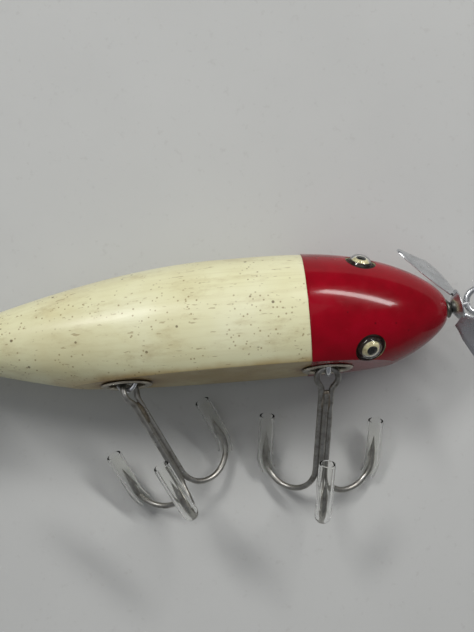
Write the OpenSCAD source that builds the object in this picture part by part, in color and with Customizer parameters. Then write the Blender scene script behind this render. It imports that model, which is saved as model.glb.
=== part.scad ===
// Wooden twin-propeller surface lure that floats on its side, lying on a table.
// Millimetres. The origin is the centre of the line tie's ring, +X points out of the nose and +Z is up.
// The tabletop is the plane z = -body_r, which the body's fattest section touches.

/* [Body] */
// Length of the turned wooden body
body_len = 95.1; // [90:0.1:100]
// Largest radius of the body
body_r = 12.3; // [12:0.1:12.6]
// Distance from the body's axis to its flat side
flat_depth = 9.0; // [8.8:0.1:9.2]
// How far the flat side faces up from the horizontal
flat_lean = 12.6; // [8:0.1:16]
// Length of the red head, back from the nose
head_len = 25.6; // [24:0.1:27]
// Thickness of the red lacquer coat
coat_t = 0.13; // [0.1:0.01:0.2]

/* [Eyes] */
// Distance of the eyes behind the nose
eye_back = 15.2; // [14.5:0.1:16]
// Direction of the left eye, from straight up towards +Y
left_eye_angle = 67; // [63:1:70]
// Direction of the right eye, from straight up towards +Y
right_eye_angle = -33; // [-36:1:-30]
// Radius of an eye's glass dome
glass_r = 2.3; // [2.1:0.1:2.4]
// Radius of an eye's drilled socket
socket_r = 2.8; // [2.6:0.1:3]

/* [Belly hardware] */
// Distance of the front hook cup behind the nose
front_cup_back = 22.4; // [22:0.1:23]
// Distance of the rear hook cup behind the nose
rear_cup_back = 58.8; // [57:0.1:60]
// Outer radius of a hook cup's flange
cup_flange_r = 4.65; // [4.4:0.05:4.8]
// Outer radius of a hook cup's wall
cup_r = 3.65; // [3.5:0.05:3.7]
// Depth of a hook cup
cup_depth = 4.2; // [3.8:0.1:4.6]
// Radius of the wire of a hook's screw eye
eye_wire_r = 0.475; // [0.45:0.005:0.5]
// Inner radius of the ring of a hook's screw eye
eye_hole_r = 1.25; // [1.2:0.01:1.3]

/* [Treble hooks] */
// Radius of the hook wire
wire_r = 0.55; // [0.5:0.01:0.56]
// Distance from the eye's seat to where the bends start
bend_start = 20.7; // [20:0.1:20.8]
// How much further down the brazed hook's bend starts
brazed_drop = 0.8; // [0.4:0.1:0.9]
// Distance from a shank's axis to its point's axis
gape = 10.9; // [10.2:0.1:11]
// Length of a point above its bend
point_len = 4.8; // [4.4:0.1:5]
// Swing of the front treble at rest, towards the nose
front_swing = -6.7; // [-12:0.1:4]
// Slope of the front treble's shank down to the table
front_drop = 19.9; // [16:0.1:20]
// Turn of the front treble about its shank
front_turn = 2.4; // [-4:0.1:6]
// Swing of the rear treble at rest, towards the nose
rear_swing = 26.5; // [20:0.5:30]
// Slope of the rear treble's shank down to the table
rear_drop = 16.6; // [13:0.1:16.6]
// Turn of the rear treble about its shank
rear_turn = 126; // [120:1:130]
// Swing of the tail treble at rest, towards -Y
tail_swing = 14; // [0:1:20]
// Slope of the tail treble's shank down to the table
tail_drop = 12; // [8:0.1:12]
// Turn of the tail treble about its shank
tail_turn = 120; // [116:1:124]

/* [Hook guards] */
// Outer radius of a clear hook guard
guard_r = 1.5; // [1.45:0.01:1.55]
// Inner radius of a clear hook guard
guard_bore_r = 1.1; // [1.05:0.01:1.15]
// Length of a guard's straight part
guard_straight = 8; // [7.5:0.1:8.5]

/* [Propellers] */
// Tilt of the line tie and front propeller in the nose, towards +Y
tie_tilt = 9; // [6:0.5:10]
// Radius of a propeller's dished hub
hub_r = 3.1; // [2.9:0.05:3.2]
// Thickness of the propeller sheet
sheet_t = 0.45; // [0.4:0.01:0.5]
// Pitch of the blades, between their chord and the axis
blade_pitch = 48; // [40:1:52]
// Bend of the front blades, one back and one forward
blade_bend = 26.5; // [20:0.5:28]
// Sweep of the tail blades towards the body
tail_blade_sweep = 14; // [8:1:18]
// Turn of the front propeller at rest
front_spin = -28.3; // [-40:0.1:-20]
// Turn of the tail propeller at rest
tail_spin = 38; // [20:1:50]

/* [Line tie] */
// Distance from the nose to the centre of the line tie's ring
tie_reach = 6.4; // [6.2:0.1:6.8]
// Radius of the wire of the line tie and the tail screw eye
tie_wire_r = 0.6; // [0.55:0.01:0.6]
// Inner radius of the line tie's ring
tie_hole_r = 1.65; // [1.55:0.01:1.7]

/* [Hidden] */
$fn = 64;

// Outline of the body, as stations behind the nose
nose_face_r = 2.0;
nose_curve = 36.6;
nose_power = 2.77;
nose_fullness = 0.75;
tail_curve_start = 40.4;
tail_face_r = 2.6;
tail_power = 1.89;
tail_fullness = 1.25;
nose_steps = 22;
tail_steps = 22;

// Gaps that keep neighbouring solids apart
skin_gap = 0.01;
seat_gap = 0.03;
bore_gap = 0.06;
through = 1;

// Joints between the pieces
flat_angle = flat_lean - 90;
eye_ring_r = eye_hole_r + eye_wire_r;
eye_ring_sink = 0.5;
loop_seat = 0.55;
tie_ring_r = tie_hole_r + tie_wire_r;
tail_stack = 4.6;
tail_ring_reach = tail_stack + tie_ring_r + tie_wire_r;
screw_len = 9;
tie_screw_len = 14;

// Treble hook outline, in the plane of one hook
loop_r = 1.95;
loop_close = 35;
leg_y = 0.9;
single_z = 0.35;
elbow_r = 1.5;
neck_len = (loop_r * cos(loop_close) - leg_y - elbow_r * (1 - cos(loop_close))) / sin(loop_close);
leg_start = loop_r * (1 + sin(loop_close)) + neck_len * cos(loop_close) + elbow_r * sin(loop_close);
bend_r = gape / 2;
braze_len = 4.4;
braze_top = 0.42;
barb_reach = 1.05;
guard_bend = 35;

// Radius of the body at a station behind the nose
function nose_radius(back) = nose_face_r
    + (body_r - nose_face_r) * pow(max(0, 1 - pow(1 - back / nose_curve, nose_power)), nose_fullness);
function tail_radius(back) = tail_face_r + (body_r - tail_face_r)
    * pow(
        max(0, 1 - pow((back - tail_curve_start) / (body_len - tail_curve_start), tail_power)),
        tail_fullness
    );
function radius_at(back) = back < nose_curve ? nose_radius(back)
    : back < tail_curve_start ? body_r : tail_radius(back);

// Stations crowd together towards the nose, where the outline turns fastest
function nose_station(i) = nose_curve * pow(i / nose_steps, 1.8);
function tail_station(i) = tail_curve_start + (body_len - tail_curve_start) * i / tail_steps;

// The body's outline as [radius, -back] points, grown outwards by skin
function outline(skin) = concat(
    [[0, 0]],
    [for (i = [0:nose_steps]) [nose_radius(nose_station(i)) + skin, -nose_station(i)]],
    [for (i = [0:tail_steps]) [tail_radius(tail_station(i)) + skin, -tail_station(i)]],
    [[0, -body_len]]
);

// ---- Places ----

// From the line tie's frame to the nose's, which looks along the body's axis
module nose() translate([-tie_reach * cos(tie_tilt), -tie_reach * sin(tie_tilt), 0]) children();

// At the nose with +X along the line tie's shank
module nose_shank() nose() rotate([0, 0, tie_tilt]) children();

// On the body's axis, back from the nose, with +Z out in the direction angle
module on_body(back, angle) nose() translate([-back, 0, 0]) rotate([-angle, 0, 0]) children();

// On the flat side, with +Z out of it and +X to the nose
module on_flat(back) on_body(back, flat_angle) translate([0, 0, flat_depth]) children();

// At the tail, with +X pointing back out of it
module tail() nose() translate([-body_len, 0, 0]) rotate([0, 0, 180]) children();

// On the skin over an eye, with +Z along the eye's axis
eye_slope = atan((radius_at(eye_back + 1) - radius_at(eye_back - 1)) / 2);
module on_eye(angle) on_body(eye_back, angle)
    translate([0, 0, radius_at(eye_back)])
    rotate([0, eye_slope, 0])
    children();

// From a screw eye's ring centre to a treble's own frame: +X along the shank, +Z up
module hook_at_flat(back) on_flat(back) translate([0, 0, -eye_ring_sink]) children();
module seated(drop) rotate([0, 0, -90]) rotate([0, drop, 0]) children();

// The front treble swings about the wire of its ring, where that wire crosses the treble's loop
lean_from_flat = front_drop + flat_lean;
ring_cross = sqrt(pow(eye_ring_r, 2) - pow(loop_seat * sin(lean_from_flat), 2))
    - loop_seat * cos(lean_from_flat);
module front_treble_frame() hook_at_flat(front_cup_back)
    translate([0, 0, loop_seat])
    rotate([flat_angle, 0, 0])
    seated(front_drop)
    translate([ring_cross, 0, 0])
    rotate([0, 0, front_swing])
    translate([-ring_cross, 0, 0])
    rotate([front_turn, 0, 0])
    children();

// The rear treble swings about the axis of its ring; its loop's crown lies off the ring's centre
rear_ring_turn = 112;
rear_crown = [-0.3, 0.6, 0.4];
module rear_treble_frame() hook_at_flat(rear_cup_back)
    translate(rear_crown)
    rotate([0, rear_swing, 0])
    rotate([flat_angle, 0, 0])
    seated(rear_drop)
    rotate([rear_turn, 0, 0])
    children();

module tail_treble_frame() tail()
    translate([tail_ring_reach, 0, 0])
    rotate([0, 0, tail_swing])
    rotate([0, tail_drop, 0])
    translate([loop_seat, 0, 0])
    rotate([tail_turn, 0, 0])
    children();

// ---- Shapes that repeat ----

// A wire along an arc in the XY plane, from the angle start through sweep
module arc_wire(bend_r, wire, start, sweep) rotate([0, 0, start])
    rotate_extrude(angle = sweep) translate([bend_r, 0]) circle(wire);

// A rod along +X from a point
module rod(from, radius, len) translate(from) rotate([0, 90, 0]) cylinder(r = radius, h = len);

// A solid of revolution about +X, from [radius, x] points
module turned(points) rotate([0, 90, 0]) rotate_extrude() polygon(points);

// The body grown by skin, with its flat side
module flatted(skin) nose() intersection() {
    rotate([0, 90, 0]) rotate_extrude() polygon(outline(skin));
    rotate([-flat_angle, 0, 0])
        translate([-body_len - through, -2 * body_r, -2 * body_r])
        cube([body_len + 2 * through, 4 * body_r, 2 * body_r + flat_depth + skin]);
}

// A wood screw's shank along +X from 0, with ridges for its thread
module screw_shank(core, crest, smooth, thread, pitch) turned(concat(
    [[0, 0], [core, 0], [core, smooth]],
    [for (x = [smooth:pitch:smooth + thread - pitch]) each
        [[core, x + 0.2 * pitch], [crest, x + 0.6 * pitch], [core, x + pitch]]],
    [[0, smooth + thread + 2 * core]]
));

// ---- Body ----

module hook_recess(back) on_flat(back) union() {
    translate([0, 0, -cup_depth - 2 * seat_gap])
        cylinder(r = cup_r + seat_gap, h = cup_depth + 2 * seat_gap + through);
    translate([0, 0, -eye_ring_sink - eye_ring_r - screw_len - 3])
        cylinder(r = 0.75 + seat_gap, h = screw_len + 3);
}

module eye_socket(angle) on_eye(angle) union() {
    translate([0, 0, -1.3]) cylinder(r = socket_r, h = 3);
    translate([0, 0, -6.5]) cylinder(r = 0.45, h = 6.5);
}

module wood_body() color("antiquewhite") difference() {
    flatted(0);
    hook_recess(front_cup_back);
    hook_recess(rear_cup_back);
    eye_socket(left_eye_angle);
    eye_socket(right_eye_angle);
    nose_shank() rod([-tie_screw_len - 2, 0, 0], 1 + seat_gap, tie_screw_len + 4);
    tail() rod([-tie_screw_len - 2, 0, 0], 1 + seat_gap, tie_screw_len + 4);
}

module red_head_coat() color("firebrick") difference() {
    intersection() {
        flatted(coat_t);
        nose() translate([-head_len, -2 * body_r, -2 * body_r])
            cube([head_len - 0.35, 4 * body_r, 4 * body_r]);
    }
    flatted(skin_gap);
    on_flat(front_cup_back) translate([0, 0, -2]) cylinder(r = cup_flange_r + 0.1, h = 4);
    for (angle = [left_eye_angle, right_eye_angle])
        on_eye(angle) translate([0, 0, -2]) cylinder(r = socket_r + 0.02, h = 5);
}

// ---- Eyes ----

iris_r = 1.65;
iris_sphere_r = 1.9;
iris_rise = 0.9;
pupil_r = 0.92;
pupil_top = 0.98;
dome_sphere_r = 2.45;
dome_rise = 1.3;

// A ball's cap standing on z = 0, with the base radius cut by a cylinder
module cap(sphere_r, rise, base_r) intersection() {
    translate([0, 0, rise - sphere_r]) sphere(sphere_r);
    cylinder(r = base_r, h = rise + 1);
}

module eye_iris(angle) color("khaki") on_eye(angle) union() {
    cap(iris_sphere_r, iris_rise, iris_r);
    translate([0, 0, -0.5]) cylinder(r = iris_r, h = 0.51);
}

module eye_pupil(angle) color("black") on_eye(angle) difference() {
    cylinder(r = pupil_r, h = pupil_top);
    translate([0, 0, iris_rise - iris_sphere_r]) sphere(iris_sphere_r + skin_gap);
}

module eye_glass(angle) color("lightblue", 0.4) on_eye(angle) difference() {
    union() {
        cap(dome_sphere_r, dome_rise, glass_r);
        translate([0, 0, -0.9]) cylinder(r = glass_r, h = 0.91);
    }
    translate([0, 0, -1]) cylinder(r = iris_r + seat_gap, h = 1.02);
    intersection() {
        translate([0, 0, iris_rise - iris_sphere_r]) sphere(iris_sphere_r + seat_gap);
        cylinder(r = iris_r + seat_gap, h = 2);
    }
    cylinder(r = pupil_r + seat_gap, h = pupil_top + seat_gap);
}

module eye_wire(angle) color("silver") on_eye(angle)
    translate([0, 0, -6]) cylinder(r = 0.4, h = 5.48);

// ---- Belly hardware ----

cup_wall = 0.35;
cup_shank_hole_r = 0.62;

module hook_cup(back) color("silver") on_flat(back) difference() {
    rotate_extrude() polygon([
        [cup_shank_hole_r, -cup_depth], [1.6, -cup_depth], [2.6, -0.86 * cup_depth],
        [cup_r - 0.25, -0.6 * cup_depth], [cup_r, -0.3 * cup_depth], [cup_r, seat_gap + coat_t],
        [cup_flange_r - 0.12, seat_gap + coat_t], [cup_flange_r, 0.3], [cup_flange_r - 0.1, 0.46],
        [cup_flange_r - 0.4, 0.56], [cup_r - 0.05, 0.55], [cup_r - cup_wall, 0.35],
        [cup_r - cup_wall, -0.3 * cup_depth], [cup_r - 0.25 - cup_wall, -0.6 * cup_depth],
        [2.4, -0.84 * cup_depth + 0.2], [1.5, -cup_depth + cup_wall],
        [cup_shank_hole_r, -cup_depth + cup_wall]
    ]);
}

// A screw eye whose ring's hole runs along +X turned by turn about its shank
module hook_screw_eye(back, turn) color("silver") hook_at_flat(back) rotate([0, 0, turn]) union() {
    rotate([0, 90, 0]) rotate_extrude() translate([eye_ring_r, 0]) circle(eye_wire_r);
    translate([0, 0, -eye_ring_r + 0.3]) rotate([0, 90, 0])
        screw_shank(eye_wire_r, 0.75, 3, screw_len - 3, 0.9);
}

// ---- Treble hooks ----

// At the start of a hook's bend, in that hook's plane: +X along the shank and +Y out to the point
hook_angles = [90, 210, 330];
hook_legs = [[0, single_z], [-leg_y, 0], [leg_y, 0]];
module hook_plane(i) translate([bend_start + (i == 0 ? brazed_drop : 0), hook_legs[i][0], hook_legs[i][1]])
    rotate([hook_angles[i], 0, 0]) children();

module hook_bend(i) hook_plane(i) union() {
    translate([0, bend_r, 0]) arc_wire(bend_r, wire_r, -90, 180);
    translate([0, gape, 0]) rotate([0, -90, 0]) union() {
        cylinder(r = wire_r, h = 1);
        translate([0, 0, 1]) cylinder(r1 = wire_r, r2 = 0.04, h = point_len - 1);
    }
    translate([0, gape, -0.16]) linear_extrude(0.32)
        polygon([[-2, -0.1], [-0.5, -barb_reach], [-0.7, -0.1]]);
}

// One wire makes the loop and two of the hooks; the third hook is brazed between its legs
module treble_leg() union() {
    translate([loop_r * (1 + sin(loop_close)), loop_r * cos(loop_close), 0])
        rotate([0, 0, -loop_close]) union() {
            rod([0, 0, 0], wire_r, neck_len);
            translate([neck_len, elbow_r, 0]) arc_wire(elbow_r, wire_r, -90, loop_close);
        }
    rod([leg_start, leg_y, 0], wire_r, bend_start - leg_start);
}

module treble() color("dimgray") union() {
    translate([loop_r, 0, 0]) arc_wire(loop_r, wire_r, 90 - loop_close, 180 + 2 * loop_close);
    treble_leg();
    mirror([0, 1, 0]) treble_leg();
    rod([leg_start + 0.6, 0, single_z], wire_r, bend_start + brazed_drop - leg_start - 0.6);
    translate([leg_start - 0.1, -leg_y, -braze_top]) cube([braze_len, 2 * leg_y, 2 * braze_top]);
    for (i = [0:2]) hook_bend(i);
}

// A clear tube over the point and the end of the bend; the bent end is a hair thinner than the rest
guard_lap = 0.3;
guard_thinning = 0.02;
module tube_section(thinning) difference() {
    circle(guard_r - thinning);
    circle(guard_bore_r + thinning);
}

module guard(i) color("white", 0.5) hook_plane(i) union() {
    translate([-guard_straight, gape, 0])
        rotate([0, 90, 0])
        linear_extrude(guard_straight + guard_lap)
        tube_section(0);
    translate([0, bend_r, 0])
        rotate([0, 0, 90 - guard_bend])
        rotate_extrude(angle = guard_bend)
        translate([bend_r, 0])
        tube_section(guard_thinning);
}

// ---- Propellers ----

shaft_hole_r = tie_wire_r + bore_gap;
dish_back = 1.3;
dish_front = 2.8;

// A dished hub on +X, hollow at the front
module hub() turned([
    [shaft_hole_r, dish_back], [1.1, dish_back], [hub_r, dish_front - 0.2], [hub_r, dish_front],
    [hub_r - 0.3, dish_front], [1.0, dish_back + sheet_t], [shaft_hole_r, dish_back + sheet_t]
]);

// A blade along +Y from the hub's rim, with its chord on +X
blade_outline = [
    [-1.7, -0.5], [-1.9, 0.4], [-2.7, 2.2], [-3.5, 5.4], [-3.9, 9.2], [-4.0, 11.6], [-3.6, 12.2],
    [-2.7, 11.9], [0.4, 10.5], [2.8, 9.1], [3.6, 8.0], [3.7, 6.2], [3.1, 3.3], [1.9, 0.9], [1.5, -0.5]
];

blade_root_x = 2.35;
module blade(bend) translate([blade_root_x, hub_r, 0])
    rotate([0, 0, bend])
    rotate([0, blade_pitch, 0])
    translate([0, 0, -sheet_t / 2])
    linear_extrude(sheet_t) polygon(blade_outline);

module propeller(bend_a, bend_b) color("lightsteelblue") difference() {
    union() {
        hub();
        blade(bend_a);
        rotate([180, 0, 0]) blade(bend_b);
    }
    rod([0, 0, 0], shaft_hole_r, 8);
    turned([
        [0, dish_back + sheet_t], [1.0, dish_back + sheet_t], [hub_r - 0.3, dish_front],
        [hub_r - 0.3, 8], [0, 8]
    ]);
}

// A cone that starts at seat; the nose's stands off further, because its shaft leans over
nose_cone_seat = 0.3;
tail_cone_seat = 0.02;
module bearing_cone(seat) color("dimgray") turned([
    [shaft_hole_r, seat], [1.75, seat], [1.7, seat + 0.3], [0.95, 1.22], [shaft_hole_r, 1.22]
]);

module thrust_washer() color("silver") turned([
    [shaft_hole_r, 1.83], [1.05, 1.83], [1.15, 2.0], [1.15, 2.25], [1.05, 2.42], [shaft_hole_r, 2.42]
]);

// A screw eye along +X with its ring ahead of the nose; the ring's bore has a short straight land
land = 0.25;
module shaft_screw_eye(ring_x) color("silver") union() {
    translate([ring_x, 0, 0]) rotate_extrude() polygon([
        [tie_hole_r, -land], [tie_hole_r + 0.25, -0.52], [tie_ring_r, -tie_wire_r],
        [tie_ring_r + 0.35, -0.52], [tie_ring_r + tie_wire_r, -land], [tie_ring_r + tie_wire_r, land],
        [tie_ring_r + 0.35, 0.52], [tie_ring_r, tie_wire_r], [tie_hole_r + 0.25, 0.52], [tie_hole_r, land]
    ]);
    translate([ring_x - tie_ring_r, 0, 0]) rotate([0, 0, 180])
        screw_shank(tie_wire_r, 0.95, ring_x - tie_ring_r + 2, tie_screw_len - 4, 1.1);
}

// ---- Nodes ----

wood_body();
red_head_coat();
eye_glass(left_eye_angle);  // left_eye_glass
eye_iris(left_eye_angle);  // left_eye_iris
eye_pupil(left_eye_angle);  // left_eye_pupil
eye_wire(left_eye_angle);  // left_eye_wire
eye_glass(right_eye_angle);  // right_eye_glass
eye_iris(right_eye_angle);  // right_eye_iris
eye_pupil(right_eye_angle);  // right_eye_pupil
eye_wire(right_eye_angle);  // right_eye_wire
hook_cup(front_cup_back);  // front_hook_cup
hook_cup(rear_cup_back);  // rear_hook_cup
hook_screw_eye(front_cup_back, 0);  // front_hook_screw_eye
hook_screw_eye(rear_cup_back, rear_ring_turn);  // rear_hook_screw_eye
front_treble_frame() treble();  // front_treble
rear_treble_frame() treble();  // rear_treble
tail_treble_frame() treble();  // tail_treble
for (i = [0:2]) {
    front_treble_frame() guard(i);
    rear_treble_frame() guard(i);
    tail_treble_frame() guard(i);
}
nose_shank() bearing_cone(nose_cone_seat);  // nose_bearing_cone
nose_shank() rotate([front_spin, 0, 0]) propeller(blade_bend, -blade_bend);  // front_propeller
nose_shank() thrust_washer();  // front_thrust_washer
nose_shank() shaft_screw_eye(tie_reach);  // line_tie_screw_eye
tail() bearing_cone(tail_cone_seat);  // tail_bearing_cone
tail() rotate([tail_spin, 0, 0]) propeller(tail_blade_sweep, tail_blade_sweep);  // tail_propeller
tail() thrust_washer();  // tail_thrust_washer
tail() shaft_screw_eye(tail_ring_reach);  // tail_screw_eye
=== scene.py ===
"""Looks of a wooden twin-propeller surface lure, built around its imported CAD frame."""

import math

import bmesh
import bpy
from mathutils import Matrix, Vector, noise


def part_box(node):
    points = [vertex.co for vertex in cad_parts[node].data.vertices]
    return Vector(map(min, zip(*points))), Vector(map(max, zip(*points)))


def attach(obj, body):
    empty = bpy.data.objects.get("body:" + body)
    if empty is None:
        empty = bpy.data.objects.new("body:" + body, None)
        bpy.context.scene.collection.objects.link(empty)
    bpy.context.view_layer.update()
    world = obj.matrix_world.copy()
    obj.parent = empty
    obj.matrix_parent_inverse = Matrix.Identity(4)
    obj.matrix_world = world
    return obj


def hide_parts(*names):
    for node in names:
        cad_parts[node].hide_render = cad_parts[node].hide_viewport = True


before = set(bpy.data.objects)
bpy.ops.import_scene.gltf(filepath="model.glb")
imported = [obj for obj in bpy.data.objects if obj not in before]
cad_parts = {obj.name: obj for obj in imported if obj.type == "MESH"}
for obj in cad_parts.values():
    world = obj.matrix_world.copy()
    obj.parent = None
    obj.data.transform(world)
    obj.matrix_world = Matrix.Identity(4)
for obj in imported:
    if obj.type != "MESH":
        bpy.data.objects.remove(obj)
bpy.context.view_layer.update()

MM = 0.001
BODY = "lure_body"

# ---- Driving sizes, in millimetres, as in the part ----

TIE_REACH, TIE_TILT = 6.4, 9.0
BODY_LEN, BODY_R, FLAT_DEPTH, FLAT_LEAN = 95.1, 12.3, 9.0, 12.6
HEAD_LEN, COAT_T = 25.6, 0.13
EYE_BACK, LEFT_EYE, RIGHT_EYE = 15.2, 67.0, -33.0
SOCKET_R, GLASS_R, IRIS_R, PUPIL_R = 2.8, 2.3, 1.65, 0.92
FRONT_CUP, REAR_CUP = 22.4, 58.8
CUP_FLANGE_R, CUP_R, CUP_DEPTH = 4.65, 3.65, 4.2
EYE_WIRE_R, EYE_HOLE_R, RING_SINK = 0.475, 1.25, 0.5
WIRE_R, LOOP_R, LOOP_CLOSE = 0.55, 1.95, 35.0
BEND_START, BRAZED_DROP, GAPE, POINT_LEN = 20.7, 0.8, 10.9, 4.8
LEG_Y, SINGLE_Z, ELBOW_R, BRAZE_LEN = 0.9, 0.35, 1.5, 4.4
FRONT_SWING, FRONT_DROP, FRONT_TURN = -6.7, 19.9, 2.4
REAR_SWING, REAR_DROP, REAR_TURN = 26.5, 16.6, 126.0
TAIL_SWING, TAIL_DROP, TAIL_TURN = 14.0, 12.0, 120.0
GUARD_R, GUARD_BORE_R, GUARD_STRAIGHT, GUARD_BEND = 1.5, 1.1, 8.0, 35.0
HUB_R, SHEET_T, BLADE_PITCH, BLADE_BEND, TAIL_SWEEP = 3.1, 0.45, 48.0, 26.5, 14.0
DISH_BACK, DISH_FRONT = 1.3, 2.8
FRONT_SPIN, TAIL_SPIN = -28.3, 38.0
TIE_WIRE_R, TIE_HOLE_R = 0.6, 1.65
NOSE_CONE_SEAT, TAIL_CONE_SEAT = 0.3, 0.02
LOOP_SEAT = 0.55
REAR_CROWN, REAR_RING_TURN = (-0.3, 0.6, 0.4), 112
BELLY_SCREW = {"crest": 0.72, "smooth_len": 3.0, "thread_len": 5.5, "pitch": 0.9}
TIE_SCREW = {"crest": 0.93, "thread_len": 9.0, "pitch": 1.1}
TIE_SCREW_NECK = 2.5

FLAT_ANGLE = FLAT_LEAN - 90
EYE_RING_R = EYE_HOLE_R + EYE_WIRE_R
TIE_RING_R = TIE_HOLE_R + TIE_WIRE_R
TAIL_RING_REACH = 4.6 + TIE_RING_R + TIE_WIRE_R
HOOK_ANGLES = (90, 210, 330)
HOOK_LEGS = ((0, SINGLE_Z), (-LEG_Y, 0), (LEG_Y, 0))

# Outline of the body, by distance behind the nose
NOSE_FACE_R, NOSE_CURVE, NOSE_POWER, NOSE_FULLNESS = 2.0, 36.6, 2.77, 0.75
TAIL_START, TAIL_FACE_R, TAIL_POWER, TAIL_FULLNESS = 40.4, 2.6, 1.89, 1.25

# The camera: its roll in degrees, its height over the axis and the point it looks at, behind the nose
CAMERA_ROLL, CAMERA_HEIGHT, CAMERA_AIM = 4.64, 180.0, (-37.95, 1.82, 0)
VIEW_LONG_SIDE = 86.65 * 4 / 3


# ---- Places ----

def at(x, y, z):
    return Matrix.Translation((x, y, z))


def turn(axis, degrees):
    return Matrix.Rotation(math.radians(degrees), 4, axis)


NOSE = at(-TIE_REACH * math.cos(math.radians(TIE_TILT)), -TIE_REACH * math.sin(math.radians(TIE_TILT)), 0)
NOSE_SHANK = NOSE @ turn("Z", TIE_TILT)
TAIL = NOSE @ at(-BODY_LEN, 0, 0) @ turn("Z", 180)
TAIL_RING = TAIL @ at(TAIL_RING_REACH, 0, 0)


def on_body(back, angle):
    return NOSE @ at(-back, 0, 0) @ turn("X", -angle)


def on_flat(back):
    return on_body(back, FLAT_ANGLE) @ at(0, 0, FLAT_DEPTH)


def nose_radius(back):
    along = (NOSE_CURVE - back) / NOSE_CURVE
    return NOSE_FACE_R + (BODY_R - NOSE_FACE_R) * max(0, 1 - along ** NOSE_POWER) ** NOSE_FULLNESS


def tail_radius(back):
    along = (back - TAIL_START) / (BODY_LEN - TAIL_START)
    return TAIL_FACE_R + (BODY_R - TAIL_FACE_R) * max(0, 1 - along ** TAIL_POWER) ** TAIL_FULLNESS


def radius_at(back):
    if back < NOSE_CURVE:
        return nose_radius(back)
    return BODY_R if back < TAIL_START else tail_radius(back)


EYE_SLOPE = math.degrees(math.atan((radius_at(EYE_BACK + 1) - radius_at(EYE_BACK - 1)) / 2))


def on_eye(angle):
    return on_body(EYE_BACK, angle) @ at(0, 0, radius_at(EYE_BACK)) @ turn("Y", EYE_SLOPE)


def hook_at_flat(back):
    return on_flat(back) @ at(0, 0, -RING_SINK)


def seated(drop):
    return turn("Z", -90) @ turn("Y", drop)


def front_treble_frame():
    lean = math.radians(FRONT_DROP + FLAT_LEAN)
    cross = math.sqrt(EYE_RING_R ** 2 - (LOOP_SEAT * math.sin(lean)) ** 2) - LOOP_SEAT * math.cos(lean)
    hung = hook_at_flat(FRONT_CUP) @ at(0, 0, LOOP_SEAT) @ turn("X", FLAT_ANGLE) @ seated(FRONT_DROP)
    return hung @ at(cross, 0, 0) @ turn("Z", FRONT_SWING) @ at(-cross, 0, 0) @ turn("X", FRONT_TURN)


def rear_treble_frame():
    hung = hook_at_flat(REAR_CUP) @ at(*REAR_CROWN) @ turn("Y", REAR_SWING)
    return hung @ turn("X", FLAT_ANGLE) @ seated(REAR_DROP) @ turn("X", REAR_TURN)


def tail_treble_frame():
    hung = TAIL_RING @ turn("Z", TAIL_SWING) @ turn("Y", TAIL_DROP)
    return hung @ at(LOOP_SEAT, 0, 0) @ turn("X", TAIL_TURN)


def hook_plane(i):
    start = BEND_START + (BRAZED_DROP if i == 0 else 0)
    return at(start, *HOOK_LEGS[i]) @ turn("X", HOOK_ANGLES[i])


# ---- Material nodes ----

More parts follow.
